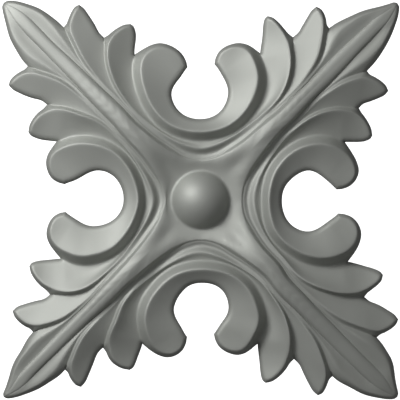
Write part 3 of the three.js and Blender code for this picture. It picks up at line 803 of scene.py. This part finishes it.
    def round_midrib(self, groove: np.ndarray, middle: np.ndarray, sheets: tuple) -> None:
        """Round the midrib over from groove to groove, more and more towards the notch.

        Args:
            groove: The points of the groove beside it.
            middle: The points of the boss's foot and the midline.
            sheets: The sheets between them, which are changed.
        """
        width = np.maximum(widths(groove, middle), 1e-6)[:, None]
        rise = (middle - groove)[:, 2:3]
        start, end = self.MIDRIB_STEPS
        amount = np.clip((np.arange(len(groove)) - start) / (end - start), 0, 1)[:, None]
        for sheet in sheets:
            away = np.linalg.norm(sheet[:, :, :2] - groove[:, None, :2], axis=2)
            turned = math.pi * np.minimum(away / width, 1) ** self.midrib_bulge
            wanted = groove[:, 2:3] + rise * (1 - np.cos(turned)) / 2
            sheet[:, :, 2] += (wanted - sheet[:, :, 2]) * amount

    def star_supports(self, rim: np.ndarray, middle: np.ndarray) -> np.ndarray:
        """Give the points that the star's plate rests on, in all eight half leaves.

        Args:
            rim: The points of the star's rim.
            middle: The points of the boss's foot and the midline.

        Returns:
            Their places and heights.
        """
        steps = np.arange(0, NOTCH_STEP + 1, self.SUPPORT_STEPS)
        beside = rim + (middle - rim) * self.LEVEL_RIM
        beside[:, 2] = rim[:, 2]
        inside = middle[: ARC_STEPS + 1] * np.array([self.UNDER_BOSS, self.UNDER_BOSS, 1])
        drawn = np.vstack([rim[steps], beside[steps], middle[steps], inside[:: ARC_STEPS // 2]])
        found: dict = {}
        for across, up, height in drawn:
            for x, y in ((across, up), (up, across)):
                for turned_x, turned_y in ((x, y), (-x, y), (x, -y), (-x, -y)):
                    found[round(turned_x, 2), round(turned_y, 2)] = height
        return np.array([(x, y, height) for (x, y), height in found.items()])

    def boss(self, foot: np.ndarray) -> None:
        """Lay the boss: a fillet round its foot, and the dome.

        Args:
            foot: The points of the boss's foot and the midline.
        """
        sine, cosine = math.sin(self.boss_foot_angle), math.cos(self.boss_foot_angle)
        dome_radius = BOSS_RADIUS - BOSS_FILLET
        fillet_radius = (BOSS_FOOT - dome_radius) / sine
        turned = self.boss_foot_angle * np.linspace(0, 1, FILLET_RINGS + 1)
        fillet = BOSS_FOOT - fillet_radius * np.sin(turned)
        fillet_rise = fillet_radius * (1 - np.cos(turned))
        angles = self.boss_foot_angle * (1 - np.linspace(0, 1, BOSS_RINGS + 1)[1:])
        dome = dome_radius * np.sin(angles) / sine
        crown = BOSS_RISE / LEVEL - fillet_rise[-1]
        dome_rise = crown * (np.cos(angles) - cosine) / (1 - cosine)
        shares = np.concatenate([fillet, dome]) / BOSS_FOOT
        heights = np.concatenate([fillet_rise, fillet_rise[-1] + dome_rise])
        rows = foot[: ARC_STEPS + 1, None, :] * shares[None, :, None]
        level = foot[: ARC_STEPS + 1, 2]
        rows[:, :, 2] = level.mean() + (level - level.mean())[:, None] * shares + heights[None, :]
        self.strips.append(rows)

    def draw(self) -> None:
        """Lay every sheet and note the outline."""
        hook_edge = self.flowing(HOOK_EDGE, SCROLL_STEPS)
        hook_ridge = self.flowing(HOOK_RIDGE, SCROLL_STEPS)
        hook_foot = self.valley(HOOK_FOOT)[0]
        scroll_back = self.cornered(hook_foot, SCROLL_BACK, SCROLL_STEPS)
        second_front = self.cornered(hook_foot, SECOND_FRONT, LOBE_STEPS)
        second_ridge = self.flowing(SECOND_RIDGE, LOBE_STEPS)
        second_foot = self.valley(SECOND_FOOT)[0]
        second_back = self.cornered(second_foot, SECOND_BACK, LOBE_STEPS)
        first_front = self.cornered(second_foot, FIRST_FRONT, LOBE_STEPS)
        first_ridge = self.flowing(FIRST_RIDGE, LOBE_STEPS, second_foot)
        groove = self.flowing(GROOVE, BLADE_STEPS)
        first_foot = self.valley(FIRST_FOOT, groove)[0]
        first_back = self.cornered(first_foot, FIRST_BACK, LOBE_STEPS)
        blade_edge = self.cornered(first_foot, BLADE_EDGE, BLADE_STEPS)
        blade_crest = self.flowing(BLADE_CREST, BLADE_STEPS, groove)
        middle = self.midline()
        rim = self.rim(groove, middle)
        hook = (self.hook_hollow, self.hook_hollow, self.ridge_roll)
        lobe = (self.root_hollow, self.lobe_hollow, self.ridge_roll)
        blade = (self.blade_hollow, self.blade_hollow, self.crest_roll)
        self.face(hook_edge, hook_ridge, HOOK_FACE_ROWS, *hook)
        self.wall(hook_ridge, scroll_back, HOOK_WALL_ROWS)
        self.face(second_front, second_ridge, SECOND_FACE_ROWS, *lobe)
        self.wall(second_ridge, second_back, SECOND_WALL_ROWS)
        self.face(first_front, first_ridge, FIRST_FACE_ROWS, *lobe)
        self.wall(first_ridge, first_back, FIRST_WALL_ROWS)
        self.face(blade_edge, blade_crest, BLADE_FACE_ROWS, *blade)
        self.slope(blade_crest, groove, GROOVE_ROWS, self.crest_roll, self.groove_roll)
        flank = self.slope(groove, rim, FLANK_ROWS, self.flank_roll, self.flank_roll)
        star = self.star(rim, middle, STAR_ROWS)
        self.round_midrib(groove, middle, (flank, star))
        self.boss(middle)
        self.edge = np.vstack([
            hook_edge,
            scroll_back[NOTCH_STEP:-1][::-1],
            second_front[NOTCH_STEP + 1:],
            second_back[NOTCH_STEP:-1][::-1],
            first_front[NOTCH_STEP + 1:],
            first_back[NOTCH_STEP:-1][::-1],
            blade_edge[NOTCH_STEP + 1:],
        ])


class HandCarving:
    """Pulls the drawing to the carved outline of each half leaf.

    A mark acts on what is within about its reach, and what lies near the boss's foot stays.
    """

    REACH = 16.0
    SOFTNESS = 0.02
    # How far beyond the boss's foot the pull is full, and between which distances a midrib shifts
    HELD_ROUND_BOSS = 9
    SHIFTED = (100, 270)
    # How many points are pulled at a time
    AT_ONCE = 4000
    BAY_MARKS =("rim", "second_foot", "second_ridge", "hook_foot", "hook_ridge", "hook_floor")

    def __init__(self) -> None:
        """Collect every mark with the way it is pulled."""
        drawn = HalfLeaf()
        self.starts: list = []
        self.pulls: list = []
        for index, leaf in enumerate(HALF_LEAVES):
            carved = leaf.marks()
            for name, mark in drawn.marks().items():
                self.add(mark, carved[name], leaf)
            if index % 2 == 0:
                self.add_midline(leaf)
            else:
                for name in self.BAY_MARKS:
                    self.add((0, getattr(drawn.bay, name)), (0, getattr(leaf.bay, name)), leaf)
                self.add((0, BOSS_FOOT), (0, BOSS_FOOT), leaf)
        self.marks = np.array(self.starts)
        near = self.nearness(self.marks) + self.SOFTNESS * np.eye(len(self.marks))
        self.weights = np.linalg.solve(near, np.array(self.pulls))

    def add_midline(self, leaf: HalfLeaf) -> None:
        """Add the marks that hold the midline, with the midrib's own shift.

        Args:
            leaf: The half leaf that they belong to.
        """
        half = math.sqrt(0.5)
        nearest, farthest = self.SHIFTED
        for distance in MIDLINE_MARKS:
            shift = leaf.midrib_shift if nearest < distance < farthest else 0
            carved = ((distance - shift) * half, (distance + shift) * half)
            self.add((distance * half, distance * half), carved, leaf)

    def nearness(self, points: np.ndarray) -> np.ndarray:
        """Give how strongly each mark acts on each point.

        Args:
            points: The x and y of the points, one row each.

        Returns:
            One row for each point, and one column for each mark.
        """
        gaps = np.linalg.norm(points[:, None, :] - self.marks[None, :, :], axis=2)
        return np.exp(-gaps / self.REACH) * (1 + gaps / self.REACH)

    def add(self, drawn: tuple, carved: tuple, leaf: HalfLeaf) -> None:
        """Add one mark.

        Args:
            drawn: Where the mark is drawn.
            carved: Where it is carved.
            leaf: The half leaf that it belongs to.
        """
        start = self.placed(np.array([drawn]), leaf)[0]
        end = self.placed(np.array([carved]), leaf)[0]
        self.starts.append(start)
        self.pulls.append(end - start)

    @staticmethod
    def placed(points: np.ndarray, leaf: HalfLeaf) -> np.ndarray:
        """Turn drawn points to a half leaf's place in the whole.

        Args:
            points: The points, one row each, with x and y first.
            leaf: The half leaf.

        Returns:
            The placed x and y.
        """
        across = np.array(leaf.across, dtype=float)
        up = np.array(leaf.up, dtype=float)
        return points[..., 0:1] * across + points[..., 1:2] * up

    def pulled(self, points: np.ndarray) -> np.ndarray:
        """Pull placed points by the marks near them.

        Args:
            points: The x and y of the points, one row each.

        Returns:
            The pulled x and y.
        """
        moved = points.copy()
        for start in range(0, len(points), self.AT_ONCE):
            part = points[start:start + self.AT_ONCE]
            away = np.linalg.norm(part, axis=1)
            free = np.clip((away - BOSS_FOOT) / self.HELD_ROUND_BOSS, 0, 1)
            free = free * free * (3 - 2 * free)
            pull = self.nearness(part) @ self.weights
            moved[start:start + self.AT_ONCE] = part + free[:, None] * pull
        return moved


@dataclass(frozen=True)
class SatinGrey:
    """The grey satin coat on the moulding: faintly mottled, with a fine grain."""

    name: str = "satin_grey_coat"
    light: tuple = (0.4035, 0.415, 0.388, 1)
    deep: tuple = (0.379, 0.39, 0.363, 1)
    mottle_span: tuple = (0.35, 0.65)
    mottle_scale: float = 34.0
    mottle_detail: float = 5
    metallic: float = 0.48
    duller: tuple = (0.57, 0.65)
    grain_scale: float = 900.0
    grain_detail: float = 3
    grain_strength: float = 0.12
    grain_depth: float = 0.0001

    def make(self) -> bpy.types.Material:
        """Build the node material.

        Returns:
            The material.
        """
        material = bpy.data.materials.new(self.name)
        material.use_nodes = True
        nodes = material.node_tree.nodes
        links = material.node_tree.links
        shader = nodes["Principled BSDF"]
        shader.inputs["Metallic"].default_value = self.metallic
        place = nodes.new("ShaderNodeTexCoord").outputs["Object"]
        mottle = self.noise(material, place, self.mottle_scale, self.mottle_detail)
        colours = nodes.new("ShaderNodeValToRGB")
        for stop, position, colour in zip(
            colours.color_ramp.elements, self.mottle_span, (self.deep, self.light)
        ):
            stop.position = position
            stop.color = colour
        links.new(mottle, colours.inputs["Fac"])
        links.new(colours.outputs["Color"], shader.inputs["Base Color"])
        sheen = nodes.new("ShaderNodeMapRange")
        sheen.inputs["To Min"].default_value = self.duller[0]
        sheen.inputs["To Max"].default_value = self.duller[1]
        links.new(mottle, sheen.inputs["Value"])
        links.new(sheen.outputs["Result"], shader.inputs["Roughness"])
        bump = nodes.new("ShaderNodeBump")
        bump.inputs["Strength"].default_value = self.grain_strength
        bump.inputs["Distance"].default_value = self.grain_depth
        grain = self.noise(material, place, self.grain_scale, self.grain_detail)
        links.new(grain, bump.inputs["Height"])
        links.new(bump.outputs["Normal"], shader.inputs["Normal"])
        return material

    @staticmethod
    def noise(
        material: bpy.types.Material, place: bpy.types.NodeSocket, scale: float, detail: float,
    ) -> bpy.types.NodeSocket:
        """Add a noise.

        Args:
            material: The material that it joins.
            place: The place that it reads.
            scale: How fine it is.
            detail: How many finer layers it has.

        Returns:
            Its strength from 0 to 1.
        """
        noise = material.node_tree.nodes.new("ShaderNodeTexNoise")
        noise.inputs["Scale"].default_value = scale
        noise.inputs["Detail"].default_value = detail
        material.node_tree.links.new(place, noise.inputs["Vector"])
        return noise.outputs["Fac"]


@dataclass
class Net:
    """The points of the whole carving on the squares, each once, and its faces."""

    flat: list = field(default_factory=list)
    heights: list = field(default_factory=list)
    faces: list = field(default_factory=list)
    numbers: dict = field(default_factory=dict)

    def number(self, x: float, y: float, height: float) -> int:
        """Give the number of a point, new or met before.

        Args:
            x: Its drawn x.
            y: Its drawn y.
            height: Its height, which counts where the point is new.

        Returns:
            The number.
        """
        key = (round(x / MERGE_SHARE), round(y / MERGE_SHARE))
        if key not in self.numbers:
            self.numbers[key] = len(self.flat)
            self.flat.append((x, y))
            self.heights.append(height)
        return self.numbers[key]

    def trace(self, points: np.ndarray, leaf: HalfLeaf) -> list[int]:
        """Give the numbers of a line's points in one half leaf.

        Args:
            points: The drawn points.
            leaf: The half leaf.

        Returns:
            The numbers.
        """
        placed = HandCarving.placed(points, leaf)
        return [self.number(x, y, height) for (x, y), height in zip(placed, points[:, 2])]

    def add_sheet(self, sheet: np.ndarray, leaf: HalfLeaf) -> None:
        """Add the faces of one sheet, each once and turned to the front.

        Args:
            sheet: The drawn points, row by row.
            leaf: The half leaf that they belong to.
        """
        grid = [self.trace(row, leaf) for row in sheet]
        for before, row in zip(grid, grid[1:]):
            for j in range(1, len(row)):
                corners = [before[j - 1], row[j - 1], row[j], before[j]]
                loop = [corner for k, corner in enumerate(corners) if corner != corners[k - 1]]
                if len(set(loop)) < 3:
                    continue
                area = 0.0
                for k, corner in enumerate(loop):
                    x0, y0 = self.flat[loop[k - 1]]
                    x1, y1 = self.flat[corner]
                    area += x0 * y1 - x1 * y0
                self.faces.append(loop if area > 0 else loop[::-1])


@dataclass
class Rosette:
    """The whole moulding, in one piece."""

    name: str = "carved_rosette"
    finish: SatinGrey = field(default_factory=SatinGrey)
    crease_angle: float = math.radians(50)
    body: bpy.types.Object | None = None

    # How far towards the back the side has its loops
    SIDE_SHARES = (0.55, 1.0)

    def build(self) -> bpy.types.Object:
        """Build the mesh.

        Returns:
            The rosette.
        """
        drawing = HalfLeafDrawing()
        drawing.draw()
        net = Net()
        outline: list = []
        for index, leaf in enumerate(HALF_LEAVES):
            for sheet in drawing.strips:
                net.add_sheet(sheet, leaf)
            loop = net.trace(drawing.edge, leaf)
            outline += (loop if index % 2 == 0 else loop[::-1])[:-1]
        across, up = HandCarving().pulled(np.array(net.flat)).T
        heights = np.array(net.heights) - self.edge_drops(across, up, outline)
        places = [
            (x * SQUARE, -z * LEVEL, y * SQUARE) for x, y, z in zip(across, up, heights)
        ]
        self.close(places, net.faces, outline)
        mesh = bpy.data.meshes.new(self.name)
        mesh.from_pydata(places, [], net.faces)
        mesh.update()
        self.body = bpy.data.objects.new(self.name, mesh)
        bpy.context.collection.objects.link(self.body)
        self.finish_mesh()
        return self.body

    @staticmethod
    def edge_drops(across: np.ndarray, up: np.ndarray, outline: list) -> np.ndarray:
        """Give how far the rounding of the outline lowers each point, in squares.

        Args:
            across: The x of every point.
            up: The y of every point.
            outline: The point numbers of the outline.

        Returns:
            The drop of each point.
        """
        radius = EDGE_ROUNDING / SQUARE
        tree = KDTree(len(outline))
        for place, number in enumerate(outline):
            tree.insert((across[number], up[number], 0), place)
        tree.balance()
        loop = np.stack([across[outline], up[outline]], axis=1)
        drops = np.zeros(len(across))
        for number, (x, y) in enumerate(zip(across, up)):
            place, gap = tree.find((x, y, 0))[1:]
            if gap > 2 * radius:
                continue
            here = np.array([x, y]) - loop[place]
            for other in (place - 1, (place + 1) % len(outline)):
                along = loop[other] - loop[place]
                share = np.clip(here @ along / max(along @ along, 1e-12), 0, 1)
                gap = min(gap, float(np.linalg.norm(here - share * along)))
            inside = max(0.0, 1 - gap / radius)
            drops[number] = EDGE_DROP / SQUARE * (1 - math.sqrt(1 - inside**2))
        return drops

    def close(self, places: list, faces: list, outline: list) -> None:
        """Add the side, from the carving's edge to the back, and the back.

        Args:
            places: The place of every point, which the new ones join.
            faces: The faces so far, which the new ones join.
            outline: The point numbers of the carving's edge, anticlockwise from the front.
        """
        count = len(outline)
        loops = [outline]
        for share in self.SIDE_SHARES:
            start = len(places)
            for number in outline:
                x, y, z = places[number]
                places.append((x, y * (1 - share), z))
            loops.append(list(range(start, start + count)))
        for upper, lower in zip(loops, loops[1:]):
            for i in range(count):
                j = (i + 1) % count
                faces.append([upper[i], lower[i], lower[j], upper[j]])
        faces.append(list(reversed(loops[-1])))

    def finish_mesh(self) -> None:
        """Turn every face outwards and smooth the carving."""
        bpy.ops.object.select_all(action="DESELECT")
        self.body.select_set(True)
        bpy.context.view_layer.objects.active = self.body
        bpy.ops.object.mode_set(mode="EDIT")
        bpy.ops.mesh.select_all(action="SELECT")
        bpy.ops.mesh.normals_make_consistent(inside=False)
        bpy.ops.mesh.select_all(action="DESELECT")
        bpy.ops.object.mode_set(mode="OBJECT")
        bpy.ops.object.shade_smooth_by_angle(angle=self.crease_angle)

    def dress(self) -> None:
        """Give the rosette its coat and its place in the model."""
        self.body.data.materials.append(self.finish.make())
        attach(self.body, "root")
        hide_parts("rosette")
        LOG.info("%s: %d faces", self.name, len(self.body.data.polygons))


@dataclass(frozen=True)
class SoftLight:
    """A soft square light that looks at the rosette, in metres and watts."""

    name: str
    place: tuple
    size: float
    power: float

    def add(self) -> None:
        """Add the light to the scene."""
        data = bpy.data.lights.new(self.name, "AREA")
        data.size = self.size
        data.energy = self.power
        lamp = bpy.data.objects.new(self.name, data)
        lamp.location = self.place
        lamp.rotation_euler = (-Vector(self.place)).to_track_quat("-Z", "Y").to_euler()
        bpy.context.collection.objects.link(lamp)


@dataclass
class Studio:
    """The camera, the lights and the pale backdrop."""

    view_width: float = 0.1667
    sideways: float = -0.0002
    distance: float = 3.2
    lens: float = 200.0
    wall_size: float = 6.0
    wall_distance: float = 0.3
    white: tuple = (1, 1, 1, 1)
    surround: float = 0.118
    lights: tuple = (
        SoftLight("key_upper_left", (-0.256, -0.306, 0.21), size=0.144, power=1.57),
        SoftLight("fill_front", (-0.35, -0.75, 0.3), size=0.9, power=0.95),
    )

    def camera(self) -> None:
        """Set the camera straight in front, as in the photograph."""
        data = bpy.data.cameras.new("front_camera")
        data.lens = self.lens
        data.sensor_width = self.lens * self.view_width / self.distance
        camera = bpy.data.objects.new("front_camera", data)
        camera.location = (self.sideways, -self.distance, 0.0)
        camera.rotation_euler = (math.pi / 2, 0, 0)
        bpy.context.collection.objects.link(camera)
        bpy.context.scene.camera = camera

    def backdrop(self) -> None:
        """Set a pale wall behind the rosette, which doesn't light it."""
        bpy.ops.object.select_all(action="DESELECT")
        bpy.ops.mesh.primitive_plane_add(
            size=self.wall_size, location=(0, self.wall_distance, 0), rotation=(math.pi / 2, 0, 0)
        )
        wall = bpy.context.object
        wall.name = "pale_wall"
        material = bpy.data.materials.new("pale_wall_paint")
        material.use_nodes = True
        shader = material.node_tree.nodes["Principled BSDF"]
        shader.inputs["Base Color"].default_value = self.white
        shader.inputs["Roughness"].default_value = 0.9
        shader.inputs["Emission Color"].default_value = self.white
        shader.inputs["Emission Strength"].default_value = 1.0
        wall.data.materials.append(material)
        wall.visible_diffuse = False
        wall.visible_glossy = False

    def world(self) -> None:
        """Set the soft surround."""
        world = bpy.data.worlds.new("soft_surround")
        world.use_nodes = True
        background = world.node_tree.nodes["Background"]
        background.inputs["Color"].default_value = self.white
        background.inputs["Strength"].default_value = self.surround
        bpy.context.scene.world = world

    def build(self) -> None:
        """Set up camera, backdrop, surround and lights."""
        self.camera()
        self.backdrop()
        self.world()
        for light in self.lights:
            light.add()
        bpy.context.scene.view_settings.view_transform = "Standard"


def main() -> None:
    """Build the rosette and its studio, and report the rosette."""
    logging.basicConfig(level=logging.INFO, format="%(name)s: %(message)s")
    rosette = Rosette()
    rosette.build()
    rosette.dress()
    Studio().build()


if __name__ == "__main__":
    main()
